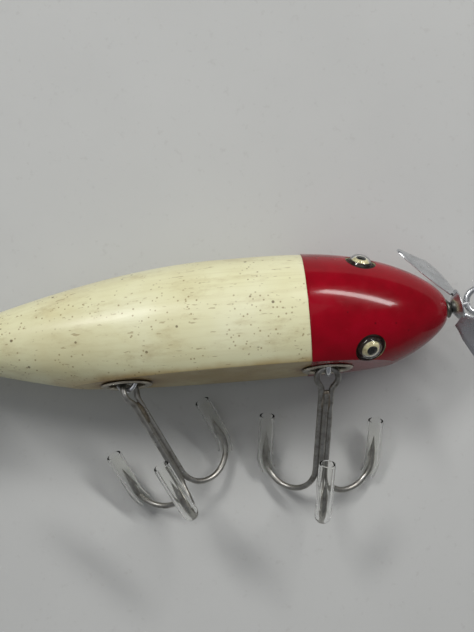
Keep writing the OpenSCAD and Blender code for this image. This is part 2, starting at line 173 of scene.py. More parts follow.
class Paint:
    """A material being built: short names for the nodes that its colour, roughness and bump need."""

    def __init__(self, name):
        self.material = bpy.data.materials.new(name)
        self.material.use_nodes = True
        self.tree = self.material.node_tree
        self.shader = self.tree.nodes["Principled BSDF"]
        self.place = self.tree.nodes.new("ShaderNodeTexCoord").outputs["Object"]

    def node(self, kind, **settings):
        made = self.tree.nodes.new(kind)
        for key, value in settings.items():
            setattr(made, key, value)
        return made

    def join(self, source, target):
        if hasattr(source, "links"):
            self.tree.links.new(source, target)
        else:
            target.default_value = source

    def fixed(self, **values):
        for key, value in values.items():
            self.shader.inputs[key.replace("_", " ")].default_value = value

    def stretched(self, scale, place=None):
        mapping = self.node("ShaderNodeMapping")
        mapping.inputs["Scale"].default_value = scale
        self.join(place or self.place, mapping.inputs["Vector"])
        return mapping.outputs["Vector"]

    def noise(self, scale, detail=4.0, rough=0.55, place=None, distortion=0.0):
        made = self.node("ShaderNodeTexNoise")
        made.inputs["Scale"].default_value = scale
        made.inputs["Detail"].default_value = detail
        made.inputs["Roughness"].default_value = rough
        made.inputs["Distortion"].default_value = distortion
        self.join(place or self.place, made.inputs["Vector"])
        return made.outputs["Fac"]

    def cells(self, scale, place=None, feature="F1"):
        made = self.node("ShaderNodeTexVoronoi", feature=feature)
        made.inputs["Scale"].default_value = scale
        self.join(place or self.place, made.inputs["Vector"])
        return made.outputs["Distance"]

    def ramp(self, value, *stops):
        made = self.node("ShaderNodeValToRGB")
        elements = made.color_ramp.elements
        while len(elements) < len(stops):
            elements.new(0.5)
        for element, (position, colour) in zip(elements, stops):
            element.position = position
            element.color = colour if len(colour) == 4 else (*colour, 1)
        self.join(value, made.inputs["Fac"])
        return made.outputs["Color"]

    def window(self, value, low, high, out_low=0.0, out_high=1.0):
        made = self.node("ShaderNodeMapRange", interpolation_type="SMOOTHSTEP")
        for key, number in zip(("From Min", "From Max", "To Min", "To Max"), (low, high, out_low, out_high)):
            made.inputs[key].default_value = number
        self.join(value, made.inputs["Value"])
        return made.outputs["Result"]

    def maths(self, operation, a, b=0.0):
        made = self.node("ShaderNodeMath", operation=operation)
        self.join(a, made.inputs[0])
        self.join(b, made.inputs[1])
        return made.outputs["Value"]

    def blend(self, factor, a, b, how="MIX"):
        made = self.node("ShaderNodeMix", data_type="RGBA", blend_type=how)
        self.join(factor, made.inputs["Factor"])
        for source, index in ((a, 6), (b, 7)):
            if isinstance(source, tuple):
                made.inputs[index].default_value = (*source, 1)
            else:
                self.join(source, made.inputs[index])
        return made.outputs[2]

    def near(self, centre, low, high):
        """1 at a place on the object, in millimetres, fading to 0 between two distances from it."""
        gap = self.node("ShaderNodeVectorMath", operation="DISTANCE")
        self.join(self.place, gap.inputs[0])
        gap.inputs[1].default_value = Vector(centre) * MM
        return self.window(gap.outputs["Value"], low * MM, high * MM, 1.0, 0.0)

    def specks(self, scale, edge, patches, kept):
        """Small round spots, kept only where a patchy noise is high."""
        spots = self.window(self.cells(scale), *edge, 1.0, 0.0)
        return self.maths("MULTIPLY", spots, self.window(patches, *kept))

    def colour(self, source):
        self.join(source, self.shader.inputs["Base Color"])

    def roughness(self, source):
        self.join(source, self.shader.inputs["Roughness"])

    def bump(self, height, distance, strength=1.0):
        made = self.node("ShaderNodeBump")
        made.inputs["Strength"].default_value = strength
        made.inputs["Distance"].default_value = distance * MM
        self.join(height, made.inputs["Height"])
        self.join(made.outputs["Normal"], self.shader.inputs["Normal"])


# ---- Materials ----

def ivory_lacquer():
    """Aged ivory lacquer on turned wood: lengthwise brush lines, amber patches, pinholes, short
    scratches, rust round the cups, and a browner flat that is partly aged stain and partly painted shade."""
    p = Paint("cream_lacquered_wood")
    streak = p.noise(1.0, 5, 0.6, p.stretched((50, 1000, 1000)))
    clouds = p.noise(60, 3, 0.5)
    base = p.ramp(clouds, (0.3, (0.67, 0.63, 0.38)), (0.52, (0.74, 0.72, 0.46)), (0.72, (0.79, 0.78, 0.54)))
    lines = p.window(streak, 0.42, 0.68)
    base = p.blend(p.maths("MULTIPLY", lines, 0.18), base, (0.52, 0.45, 0.24))
    amber = p.window(p.noise(34, 4, 0.6, distortion=0.6), 0.56, 0.72)
    base = p.blend(p.maths("MULTIPLY", amber, 0.3), base, (0.60, 0.48, 0.21))

    # Browner flat: partly aged varnish stain, partly painted shade of the lower side, which faces away from
    # the key light.
    out = on_flat(0).to_3x3() @ Vector((0, 0, 1))
    height = p.node("ShaderNodeVectorMath", operation="DOT_PRODUCT")
    p.join(p.place, height.inputs[0])
    height.inputs[1].default_value = out
    level = (FLAT_DEPTH + NOSE.translation.dot(out)) * MM
    uneven = p.maths("MULTIPLY", p.noise(75, 4, 0.6), 3.2 * MM)
    low = p.window(p.maths("ADD", height.outputs["Value"], uneven), level + 0.2 * MM, level + 2.0 * MM)
    base = p.blend(p.maths("MULTIPLY", low, 0.85), base, (0.42, 0.28, 0.09))

    for back in (FRONT_CUP, REAR_CUP):
        cup = on_flat(back).translation
        ring = p.near(cup, CUP_FLANGE_R - 0.3, CUP_FLANGE_R + 3.0)
        patchy = p.window(p.noise(420, 4, 0.65), 0.36, 0.58)
        base = p.blend(p.maths("MULTIPLY", p.maths("MULTIPLY", ring, patchy), 0.8), base, (0.22, 0.09, 0.02))
        # An even, narrow ring round each cup flange's foot, darkened to near black.
        flange_foot_darkening = p.near(cup, CUP_FLANGE_R - 0.2, CUP_FLANGE_R + 0.5)
        base = p.blend(p.maths("MULTIPLY", flange_foot_darkening, 0.8), base, (0.06, 0.03, 0.012))

    pits = p.specks(330, (0.06, 0.11), p.noise(190, 2, 0.5), (0.5, 0.56))
    dots = p.specks(150, (0.03, 0.05), p.noise(70, 2, 0.5), (0.48, 0.52))
    pits = p.maths("MAXIMUM", pits, dots)
    base = p.blend(p.maths("MULTIPLY", pits, 0.8), base, (0.08, 0.05, 0.02))
    nicks = p.window(p.noise(1.0, 2, 0.5, p.stretched((420, 2200, 2200))), 0.67, 0.72)
    base = p.blend(p.maths("MULTIPLY", nicks, 0.5), base, (0.24, 0.15, 0.06))
    grime = p.window(p.noise(1.0, 6, 0.7, p.stretched((120, 300, 300))), 0.50, 0.78)
    base = p.blend(p.maths("MULTIPLY", grime, 0.5), base, (0.40, 0.31, 0.14))
    grit = p.specks(1100, (0.13, 0.24), p.noise(140, 3, 0.6), (0.44, 0.58))
    base = p.blend(p.maths("MULTIPLY", grit, 0.65), base, (0.24, 0.16, 0.06))
    p.colour(base)
    p.roughness(p.window(p.noise(130, 5, 0.6), 0.35, 0.75, 0.30, 0.46))
    relief = p.maths("SUBTRACT", p.maths("MULTIPLY", streak, 0.6), p.maths("MAXIMUM", pits, nicks))
    p.bump(p.maths("ADD", relief, p.maths("MULTIPLY", p.noise(320, 3, 0.5), 0.7)), 0.03, 0.6)
    p.fixed(Coat_Weight=0.35, Coat_Roughness=0.26, Coat_IOR=1.5, Specular_IOR_Level=0.35)
    return p.material


def red_lacquer():
    """Deep dipped red gloss with faint clouding, dust nibs and a ripple that breaks its highlights."""
    p = Paint("red_lacquer")
    clouds = p.noise(90, 4, 0.6)
    base = p.ramp(clouds, (0.3, (0.17, 0.0, 0.004)), (0.6, (0.27, 0.0, 0.008)), (0.85, (0.35, 0.001, 0.018)))
    marks = p.specks(420, (0.06, 0.1), p.noise(210, 2, 0.5), (0.52, 0.6))
    base = p.blend(p.maths("MULTIPLY", marks, 0.6), base, (0.05, 0.0, 0.003))
    p.colour(base)
    p.roughness(p.window(p.noise(240, 5, 0.65), 0.35, 0.75, 0.16, 0.3))
    grain = p.noise(1.0, 3, 0.5, p.stretched((160, 700, 700)))
    ripple = p.maths("ADD", p.maths("MULTIPLY", grain, 1.4), p.maths("MULTIPLY", marks, 0.5))
    p.bump(ripple, 0.05, 0.5)
    p.fixed(Coat_Weight=0.38, Coat_Roughness=0.09, Coat_IOR=1.45, Specular_IOR_Level=0.08)
    return p.material


def plated(name, light, dark, tarnish, rough_low, rough_high):
    """Worn plating: clouded tarnish, pits and fine scratches over a metal of two tones."""
    p = Paint(name)
    clouds = p.noise(320, 5, 0.65)
    base = p.ramp(clouds, (0.32, dark), (0.62, light))
    spots = p.window(p.noise(900, 4, 0.7), 0.58, 0.72)
    base = p.blend(p.maths("MULTIPLY", spots, 0.5), base, tarnish)
    scratch = p.window(p.noise(1.0, 2, 0.5, p.stretched((300, 4000, 2500))), 0.62, 0.72)
    base = p.blend(p.maths("MULTIPLY", scratch, 0.3), base, light)
    p.colour(base)
    p.roughness(p.window(clouds, 0.3, 0.7, rough_high, rough_low))
    p.bump(p.maths("SUBTRACT", p.noise(1500, 3, 0.6), p.maths("MULTIPLY", scratch, 0.4)), 0.012, 0.5)
    p.fixed(Metallic=1.0)
    return p.material


def solder():
    """Lumpy brass-brown brazing with flux stains."""
    p = Paint("hook_bronze_braze")
    clouds = p.noise(600, 5, 0.7)
    dark, middle, light = (0.09, 0.08, 0.065), (0.22, 0.19, 0.15), (0.42, 0.39, 0.34)
    p.colour(p.ramp(clouds, (0.3, dark), (0.5, middle), (0.72, light)))
    p.roughness(p.window(clouds, 0.3, 0.7, 0.55, 0.3))
    p.bump(p.noise(900, 4, 0.6), 0.06, 0.8)
    p.fixed(Metallic=0.85)
    return p.material


def clear(name, tint, roughness, ior, ripple):
    """A clear solid that bends light, faintly rippled and hazed."""
    p = Paint(name)
    haze = p.noise(260, 3, 0.5)
    p.colour(p.blend(p.window(haze, 0.3, 0.7), tint, tuple(min(1.0, c * 1.03) for c in tint)))
    p.roughness(p.window(haze, 0.35, 0.75, roughness, roughness * 2.5))
    p.bump(p.noise(500, 2, 0.5), 0.01, ripple)
    p.fixed(Transmission_Weight=1.0, IOR=ior)
    return p.material


def iris_enamel():
    """Cream-yellow foil iris with a faint clouded tone."""
    p = Paint("eye_iris")
    clouds = p.noise(1500, 4, 0.6)
    p.colour(p.ramp(clouds, (0.3, (0.70, 0.60, 0.30)), (0.55, (0.86, 0.80, 0.50)), (0.8, (0.94, 0.90, 0.66))))
    p.roughness(p.window(clouds, 0.3, 0.7, 0.25, 0.4))
    p.bump(clouds, 0.02, 0.4)
    p.fixed(Coat_Weight=0.6, Metallic=0.15)
    return p.material


def dark_enamel(name, low, high, roughness):
    p = Paint(name)
    clouds = p.noise(800, 4, 0.6)
    p.colour(p.ramp(clouds, (0.35, low), (0.7, high)))
    p.roughness(p.window(clouds, 0.3, 0.7, roughness, roughness * 1.8))
    p.bump(clouds, 0.01, 0.3)
    p.fixed(Coat_Weight=0.1, Coat_Roughness=0.1, Specular_IOR_Level=0.25)
    return p.material


def pale_floor():
    p = Paint("pale_floor")
    clouds = p.noise(14, 6, 0.65)
    grit = p.window(p.noise(700, 3, 0.6), 0.6, 0.75)
    base = p.ramp(clouds, (0.3, (0.475, 0.48, 0.47)), (0.7, (0.51, 0.515, 0.505)))
    p.colour(p.blend(p.maths("MULTIPLY", grit, 0.25), base, (0.36, 0.35, 0.34)))
    p.roughness(0.75)
    p.bump(p.noise(400, 4, 0.6), 0.05, 0.3)
    return p.material


IVORY = ivory_lacquer()
RED = red_lacquer()
NICKEL = plated("nickel", (0.70, 0.71, 0.73), (0.50, 0.51, 0.52), (0.26, 0.22, 0.16), 0.2, 0.38)
CUP_NICKEL = plated("cup_nickel", (0.58, 0.54, 0.46), (0.36, 0.32, 0.25), (0.20, 0.13, 0.07), 0.22, 0.42)
DARK_NICKEL = plated("dark_nickel", (0.20, 0.20, 0.18), (0.09, 0.09, 0.08), (0.05, 0.04, 0.03), 0.25, 0.5)
BRONZE = plated("hook_bronze", (0.50, 0.49, 0.46), (0.19, 0.18, 0.16), (0.09, 0.065, 0.04), 0.26, 0.5)
STEM_STEEL = plated("eye_stem_steel", (0.36, 0.35, 0.33), (0.2, 0.19, 0.18), (0.12, 0.09, 0.06), 0.3, 0.5)
SOLDER = solder()
GLASS = clear("eye_glass", (0.99, 0.98, 0.94), 0.0, 1.45, 0.1)
VINYL = clear("clear_vinyl", (0.985, 0.99, 0.965), 0.01, 1.18, 0.4)
IRIS = iris_enamel()
PUPIL = dark_enamel("eye_pupil", (0.002, 0.002, 0.002), (0.008, 0.005, 0.003), 0.2)
# Near-black enamel for the socket filler: painted shade of the gap round each glass eye.
SOCKET_SHADE_ENAMEL = dark_enamel("eye_socket_shade", (0.008, 0.004, 0.003), (0.035, 0.014, 0.008), 0.3)


# ---- Mesh building ----

def piece(name, points, faces, place, material, body=BODY, sharp=40):
    """A mesh from millimetre points, set down by a place matrix, riding on a body."""
    mesh = bpy.data.meshes.new(name)
    mesh.from_pydata([(place @ Vector(p)) * MM for p in points], [], faces)
    welded = bmesh.new()
    welded.from_mesh(mesh)
    bmesh.ops.remove_doubles(welded, verts=welded.verts, dist=1e-7)
    bmesh.ops.dissolve_degenerate(welded, edges=welded.edges, dist=1e-8)
    bmesh.ops.recalc_face_normals(welded, faces=welded.faces)
    welded.to_mesh(mesh)
    welded.free()
    mesh.materials.append(material)
    made = bpy.data.objects.new(name, mesh)
    bpy.context.scene.collection.objects.link(made)
    smooth(made, sharp)
    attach(made, body)
    return made


def smooth(made, sharp):
    made.data.polygons.foreach_set("use_smooth", [True] * len(made.data.polygons))
    made.data.set_sharp_from_angle(angle=math.radians(sharp))


def joined(*parts):
    """Several (points, faces) shells as one."""
    points, faces = [], []
    for more_points, more_faces in parts:
        start = len(points)
        points += more_points
        faces += [tuple(start + i for i in face) for face in more_faces]
    return points, faces


def grid(rings, closed_round=True, closed_along=False, caps=True):
    """Faces over a list of equal rings of points."""
    count = len(rings[0])
    points = [p for ring in rings for p in ring]
    faces = []
    steps = len(rings) if closed_along else len(rings) - 1
    for i in range(steps):
        for j in range(count if closed_round else count - 1):
            a, b = i * count + j, i * count + (j + 1) % count
            c, d = ((i + 1) % len(rings)) * count + (j + 1) % count, ((i + 1) % len(rings)) * count + j
            faces.append((a, b, c, d))
    if caps and not closed_along:
        faces.append(tuple(range(count)))
        last = (len(rings) - 1) * count
        faces.append(tuple(last + j for j in range(count)))
    return points, faces


def lathe(outline, sides=96, closed=False):
    """A solid of revolution about +X from (radius, x) points."""
    rings = []
    for radius, x in outline:
        angles = [2 * math.pi * j / sides for j in range(sides)]
        rings.append([(x, radius * math.cos(a), radius * math.sin(a)) for a in angles])
    return grid(rings, closed_along=closed, caps=not closed)


def softened(outline, width, steps=4):
    """An outline with each corner between its ends rounded over about width."""
    out = [outline[0]]
    for before, corner, after in zip(outline, outline[1:], outline[2:]):
        p, q, r = Vector(before), Vector(corner), Vector(after)
        start = q + (p - q).normalized() * min(width, (p - q).length * 0.45)
        end = q + (r - q).normalized() * min(width, (r - q).length * 0.45)
        for i in range(steps + 1):
            t = i / steps
            out.append(tuple(start * (1 - t) ** 2 + q * 2 * t * (1 - t) + end * t ** 2))
    out.append(outline[-1])
    return out


def frames_along(path):
    """A moving pair of side vectors for each point of a path, twisting as little as it can."""
    out = []
    side = None
    for i, point in enumerate(path):
        ahead = (path[min(i + 1, len(path) - 1)] - path[max(i - 1, 0)]).normalized()
        if side is None:
            guess = Vector((0, 0, 1)) if abs(ahead.z) < 0.9 else Vector((0, 1, 0))
            side = ahead.cross(guess)
        side = (side - ahead * side.dot(ahead)).normalized()
        out.append((point, side, ahead.cross(side)))
    return out


def ring_round(point, side, up, radius, sides):
    angles = [2 * math.pi * j / sides for j in range(sides)]
    return [tuple(point + side * radius * math.cos(a) + up * radius * math.sin(a)) for a in angles]


def wire(path, radius, sides=20):
    """A round wire along a path; radius is one number or one for each point. Its ends are flat."""
    path = [Vector(p) for p in path]
    radii = radius if isinstance(radius, list) else [radius] * len(path)
    rings = [ring_round(p, s, u, r, sides) for (p, s, u), r in zip(frames_along(path), radii)]
    return grid(rings)


def hollow_tube(path, outer, inner, sides=36):
    """A tube with a wall, along a path."""
    marks = frames_along([Vector(p) for p in path])
    lip = (outer - inner) * 0.22
    rings = [ring_round(*marks[0], inner, sides), ring_round(*marks[0], inner + lip, sides)]
    rings += [ring_round(*mark, outer, sides) for mark in marks[1:-1]]
    rings.insert(2, ring_round(*marks[0], outer - lip, sides))
    rings += [ring_round(*marks[-1], outer - lip, sides), ring_round(*marks[-1], inner + lip, sides)]
    rings += [ring_round(*mark, inner, sides) for mark in reversed(marks[1:-1])]
    return grid(rings, closed_along=True)


def arc(centre, radius, start, sweep, steps):
    """Points of an arc in the XY plane, in degrees."""
    angles = [math.radians(start + sweep * i / steps) for i in range(steps + 1)]
    return [Vector((centre[0] + radius * math.cos(a), centre[1] + radius * math.sin(a), 0)) for a in angles]


def cut(target, *cutters):
    """Cuts each cutter mesh out of a piece, and removes the cutters."""
    for points, faces, place in cutters:
        mesh = bpy.data.meshes.new("cutter")
        mesh.from_pydata([(place @ Vector(p)) * MM for p in points], [], faces)
        tool = bpy.data.objects.new("cutter", mesh)
        bpy.context.scene.collection.objects.link(tool)
        fixed = bmesh.new()
        fixed.from_mesh(mesh)
        bmesh.ops.recalc_face_normals(fixed, faces=fixed.faces)
        fixed.to_mesh(mesh)
        fixed.free()
        modifier = target.modifiers.new("cut", "BOOLEAN")
        modifier.object = tool
        modifier.solver = "EXACT"
        view = bpy.context.evaluated_depsgraph_get()
        done = bpy.data.meshes.new_from_object(target.evaluated_get(view))
        target.modifiers.clear()
        old = target.data
        target.data = done
        bpy.data.meshes.remove(old)
        bpy.data.objects.remove(tool)
        bpy.data.meshes.remove(mesh)


# ---- Body and head ----

def section(back, skin, chord=18, corner=5, around=120, soften=0.3):
    """One ring of the body: its flat, two softened corners and its round back."""
    radius, depth = radius_at(back) + skin, FLAT_DEPTH + skin
    inner_radius, inner_depth = radius - soften, depth - soften
    half = math.sqrt(max(0.0, inner_radius ** 2 - inner_depth ** 2)) if inner_radius > inner_depth else 0.0
    edge = math.atan2(half, inner_depth) if half else 0.0
    ring = [(depth if half else radius, half * (2 * i / chord - 1)) for i in range(chord + 1)]
    if not half:
        ring = [(radius, 0.0)] * (chord + 1)
    for i in range(1, corner + 1):
        a = edge * i / corner
        rounded = (inner_depth + soften * math.cos(a), half + soften * math.sin(a))
        ring.append(rounded if half else (radius, 0.0))
    for i in range(1, around):
        a = edge + (2 * math.pi - 2 * edge) * i / around
        ring.append((radius * math.cos(a), radius * math.sin(a)))
    for i in range(corner, 0, -1):
        a = edge * i / corner
        rounded = (inner_depth + soften * math.cos(a), -half - soften * math.sin(a))
        ring.append(rounded if half else (radius, 0.0))
    lean = math.radians(FLAT_ANGLE)
    out, across = Vector((0, math.sin(lean), math.cos(lean))), Vector((0, math.cos(lean), -math.sin(lean)))
    return [tuple(Vector((-back, 0, 0)) + out * n + across * t) for n, t in ring]


def stations():
    nose = [NOSE_CURVE * (i / 80) ** 1.8 for i in range(81)]
    tail = [TAIL_START + (BODY_LEN - TAIL_START) * i / 90 for i in range(91)]
    return nose + [38.0] + tail


def socket_cutters():
    drilled = lathe([(SOCKET_R, -1.3), (SOCKET_R, 3.0)], 64)
    points = [(z, y, x) for x, y, z in drilled[0]]
    return [(points, drilled[1], on_eye(angle)) for angle in (LEFT_EYE, RIGHT_EYE)]


def make_body():
    points, faces = grid([section(back, 0.0) for back in stations()])
    body = piece("lacquered_body", points, faces, NOSE, IVORY)
    bored = lathe([(CUP_R + 0.05, -CUP_DEPTH - 0.1), (CUP_R + 0.05, 2.0)], 64)
    upright = [(z, y, x) for x, y, z in bored[0]]
    cups = [(upright, bored[1], on_flat(back)) for back in (FRONT_CUP, REAR_CUP)]
    cut(body, *cups, *socket_cutters())
    smooth(body, 42)
    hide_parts("wood_body")


def make_red_head():
    backs = [back for back in stations() if 0.03 < back < HEAD_LEN - 0.4]
    outer = [section(back, COAT_T) for back in backs]
    lip = [section(HEAD_LEN - 0.12, COAT_T), section(HEAD_LEN - 0.04, COAT_T * 0.85),
           section(HEAD_LEN, COAT_T * 0.45), section(HEAD_LEN, 0.012)]
    inner = [section(back, 0.012) for back in reversed(backs)]
    points, faces = grid(outer + lip + inner, closed_along=True)
    head = piece("red_dipped_head", points, faces, NOSE, RED)
    flange = lathe([(CUP_FLANGE_R + 0.08, -2.0), (CUP_FLANGE_R + 0.08, 3.0)], 64)
    upright = [(z, y, x) for x, y, z in flange[0]]
    cut(head, *socket_cutters(), (upright, flange[1], on_flat(FRONT_CUP)))
    smooth(head, 42)
    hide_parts("red_head_coat")


# ---- Eyes ----

UPRIGHT = turn("Y", -90)


def make_eye(side, angle):
    place = on_eye(angle) @ UPRIGHT
    dome_sphere, dome_rise = 2.45, 1.3
    swell = [math.asin(GLASS_R / dome_sphere) * i / 24 for i in range(25)]
    dome = [(dome_sphere * math.sin(a), dome_rise - dome_sphere + dome_sphere * math.cos(a)) for a in swell]
    dome[0] = (0.002, dome[0][1])
    skirt = [(GLASS_R, -0.45), (GLASS_R - 0.15, -0.6), (IRIS_R + 0.04, -0.6)]
    inner_sphere, iris_rise = 1.9, 0.9
    pocket = [math.asin((IRIS_R + 0.03) / inner_sphere) * (1 - i / 16) for i in range(17)]
    hollow = [(inner_sphere * math.sin(a), iris_rise + 0.14 - inner_sphere + inner_sphere * math.cos(a))
              for a in pocket]
    hollow[-1] = (0.002, hollow[-1][1])
    glass = piece(side + "_glass_dome", *lathe(dome + skirt + hollow, 64, closed=True), place, GLASS)
    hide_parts(side + "_eye_glass")

    cone = [(0.002, 0.52), (0.6, 0.55), (PUPIL_R + 0.1, 0.62), (1.25, 0.5), (1.5, 0.3), (IRIS_R, 0.1)]
    back_face = [(IRIS_R, -0.4), (0.002, -0.4)]
    iris = piece(side + "_painted_iris", *lathe(softened(cone, 0.12) + back_face, 64), place, IRIS)
    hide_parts(side + "_eye_iris")

    bead = [(0.002, 0.98), (0.35, 0.95), (0.65, 0.86), (0.85, 0.72), (PUPIL_R, 0.62), (PUPIL_R, 0.5),
            (0.002, 0.5)]
    pupil = piece(side + "_black_pupil", *lathe(softened(bead, 0.1), 48), place, PUPIL)
    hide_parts(side + "_eye_pupil")

    # A near-black ring filling the socket round the glass and iris: painted shade of the socket gap.
    rim = [(0.5, -1.2), (0.5, -0.62), (IRIS_R, -0.5), (IRIS_R + 0.03, 0.25), (IRIS_R + 0.2, 0.22),
           (GLASS_R - 0.25, 0.0), (GLASS_R - 0.08, -0.25), (GLASS_R + 0.04, -0.3), (GLASS_R + 0.25, -0.2),
           (SOCKET_R - 0.02, -0.36), (SOCKET_R - 0.02, -1.2), (0.5, -1.2)]
    socket_shade = piece(side + "_eye_socket_shade", *lathe(rim, 64, closed=True), place, SOCKET_SHADE_ENAMEL)


# ---- Belly hardware ----

def make_cup(end, back):
    outline = [
        (0.62, -CUP_DEPTH), (1.6, -CUP_DEPTH), (2.6, -0.86 * CUP_DEPTH), (CUP_R - 0.25, -0.6 * CUP_DEPTH),
        (CUP_R, -0.3 * CUP_DEPTH), (CUP_R, 0.16), (CUP_FLANGE_R - 0.12, 0.16), (CUP_FLANGE_R, 0.3),
        (CUP_FLANGE_R - 0.1, 0.46), (CUP_FLANGE_R - 0.4, 0.56), (CUP_R - 0.05, 0.55), (CUP_R - 0.35, 0.35),
        (CUP_R - 0.35, -0.3 * CUP_DEPTH), (CUP_R - 0.6, -0.6 * CUP_DEPTH), (2.4, -0.84 * CUP_DEPTH + 0.2),
        (1.5, -CUP_DEPTH + 0.35), (0.62, -CUP_DEPTH + 0.35), (0.62, -CUP_DEPTH),
    ]
    shape = lathe(softened(outline, 0.22), 96, closed=True)
    cup = piece(end + "_pressed_cup", *shape, on_flat(back) @ UPRIGHT, CUP_NICKEL, sharp=60)
    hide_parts(end + "_hook_cup")


def screw_eye(name, node, place, ring_r, wire_r, crest, smooth_len, thread_len, pitch):
    """A ring of bent wire with a straight shank and a helical wood thread, the ring's centre at 0."""
    ring = wire(arc((0, 0), ring_r, -180, 352, 72), wire_r, 24)
    thread_end = -ring_r - smooth_len - thread_len
    shank = lathe([(0.02, -ring_r + 0.1), (wire_r * 0.97, -ring_r + 0.1), (wire_r, -ring_r - smooth_len),
                   (wire_r * 0.9, thread_end), (0.05, thread_end - 1.1)], 24)
    turns = thread_len / pitch
    count = int(turns * 28)
    spiral = []
    for i in range(count + 1):
        a = 2 * math.pi * turns * i / count
        x = -ring_r - smooth_len - thread_len * i / count
        spiral.append((x, (wire_r + 0.02) * math.cos(a), (wire_r + 0.02) * math.sin(a)))
    depth = crest - wire_r
    fade = [depth * min(1.0, 6 * min(i, count - i) / count + 0.05) for i in range(count + 1)]
    thread = wire(spiral, fade, 6)
    made = piece(name, *joined(ring, shank, thread), place, NICKEL, sharp=50)
    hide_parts(node)


def make_belly_eyes():
    for end, back, quarter in (("front", FRONT_CUP, 0), ("rear", REAR_CUP, REAR_RING_TURN)):
        place = hook_at_flat(back) @ turn("Z", quarter) @ UPRIGHT
        screw_eye(end + "_belly_screw_eye", end + "_hook_screw_eye", place,
                  EYE_RING_R, EYE_WIRE_R, **BELLY_SCREW)


# ---- Treble hooks ----

def hook_curve(i):
    """Points of one hook from its point to the start of its bend, in the treble's frame, and their radii."""
    bend_r = GAPE / 2
    tip = [Vector((-POINT_LEN * (1 - t / 14), GAPE - 0.12 * math.sin(math.pi * t / 14), 0))
           for t in range(14)]
    bend = arc((0, bend_r), bend_r, 90, -180, 44)
    radii = [WIRE_R * min(1.0, 0.06 + (t / 14) / 0.72) for t in range(14)] + [WIRE_R] * len(bend)
    place = hook_plane(i)
    return [place @ p for p in tip + bend], radii


def barb(i):
    place = hook_plane(i)
    path = [Vector((x, y, 0)) for x, y in ((-2.3, GAPE - 0.2), (-1.6, GAPE - 0.55), (-1.0, GAPE - 0.85),
                                           (-0.55, GAPE - 1.04))]
    return wire([place @ p for p in path], [0.34, 0.26, 0.14, 0.03], 12)


def leg_curve(side):
    """Points of one leg from its bend up to the loop, and on round half of the loop."""
    close = math.radians(LOOP_CLOSE)
    neck = (LOOP_R * math.cos(close) - LEG_Y - ELBOW_R * (1 - math.cos(close))) / math.sin(close)
    leg_start = LOOP_R * (1 + math.sin(close)) + neck * math.cos(close) + ELBOW_R * math.sin(close)
    leg = [Vector((BEND_START + (leg_start - BEND_START) * t / 16, side * LEG_Y, 0)) for t in range(1, 17)]
    centre = Vector((leg_start, side * (LEG_Y + ELBOW_R), 0))
    elbow = []
    for t in range(1, 9):
        a = close * t / 8
        elbow.append(centre + Vector((-ELBOW_R * math.sin(a), -side * ELBOW_R * math.cos(a), 0)))
    angles = [math.radians(90 - LOOP_CLOSE + (90 + LOOP_CLOSE) * t / 30) for t in range(31)]
    loop = [Vector((LOOP_R + LOOP_R * math.cos(a), side * LOOP_R * math.sin(a), 0)) for a in angles]
    return leg + elbow + loop, leg_start


def braze(leg_start):
    """The lump that joins the third hook to the other two."""
    rings = []
    for i in range(25):
        t = i / 24
        swell = math.sin(math.pi * min(1.0, max(0.0, t))) ** 0.35 if 0 < t < 1 else 0.12
        x = leg_start - 0.2 + (BRAZE_LEN + 0.4) * t
        ring = []
        for j in range(40):
            a = 2 * math.pi * j / 40
            wobble = 1 + 0.10 * noise.noise(Vector((x * 0.9, 1.6 * math.cos(a), 1.6 * math.sin(a))))
            across = (LEG_Y + 0.30) * swell * wobble
            deep = 0.60 * swell * wobble
            squared = math.copysign(abs(math.sin(a)) ** 0.8, math.sin(a))
            ring.append((x, across * math.cos(a), 0.08 + deep * squared))
        rings.append(ring)
    return grid(rings)


def make_treble(end, place, body):
    """A double hook bent from one wire, and a third hook brazed between its legs, each with a barb."""
    right, right_radii = hook_curve(2)
    left, left_radii = hook_curve(1)
    up_right, leg_start = leg_curve(1)
    up_left = leg_curve(-1)[0]
    path = right + up_right + list(reversed(up_left))[1:] + list(reversed(left))
    middle = len(up_right) + len(up_left) - 1
    radii = right_radii + [WIRE_R] * middle + list(reversed(left_radii))
    double = wire(path, radii, 24)
    single, single_radii = hook_curve(0)
    start = BEND_START + BRAZED_DROP
    shank = [Vector((start + (leg_start + 0.4 - start) * t / 16, 0, SINGLE_Z)) for t in range(1, 17)]
    third = wire(single + shank, single_radii + [WIRE_R] * 15 + [WIRE_R * 0.7], 24)
    shape = joined(double, third, *[barb(i) for i in range(3)])
    treble = piece(end + "_treble_hook", *shape, place, BRONZE, body, sharp=50)
    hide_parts(end + "_treble")
    lump = piece(end + "_treble_braze", *braze(leg_start), place, SOLDER, body, sharp=80)


def make_guards(end, place, body):
    """Clear tubes pushed on over the points."""
    bend_r = GAPE / 2
    for i in range(3):
        straight = [Vector((-GUARD_STRAIGHT * (1 - t / 16), GAPE, 0)) for t in range(16)]
        bent = arc((0, bend_r), bend_r, 90, -GUARD_BEND, 12)
        path = [hook_plane(i) @ p for p in straight + bent]
        guard = piece("%s_point_guard_%d" % (end, i + 1), *hollow_tube(path, GUARD_R, GUARD_BORE_R), place,
                      VINYL, body, sharp=50)
        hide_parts("%s_guard_%d" % (end, i + 1))


# ---- Propellers and their shafts ----

BLADE_LONG_EDGE = (
    (-0.5, -1.7), (0.4, -1.9), (2.2, -2.7), (5.4, -3.5), (9.2, -3.9), (11.6, -4.0), (12.3, -3.5),
)
BLADE_SHORT_EDGE = (
    (-0.5, 1.5), (0.9, 1.9), (3.3, 3.1), (6.2, 3.7), (8.0, 3.6), (9.2, 2.7), (12.0, -2.9),
)


def along_edge(edge, t):
    """A point on an edge of the blade, by its share of the edge's length."""
    points = [Vector(p) for p in edge]
    lengths = [(b - a).length for a, b in zip(points, points[1:])]
    left = t * sum(lengths)
    for a, b, length in zip(points, points[1:], lengths):
        if left <= length:
            return a.lerp(b, left / length)
        left -= length
    return points[-1]


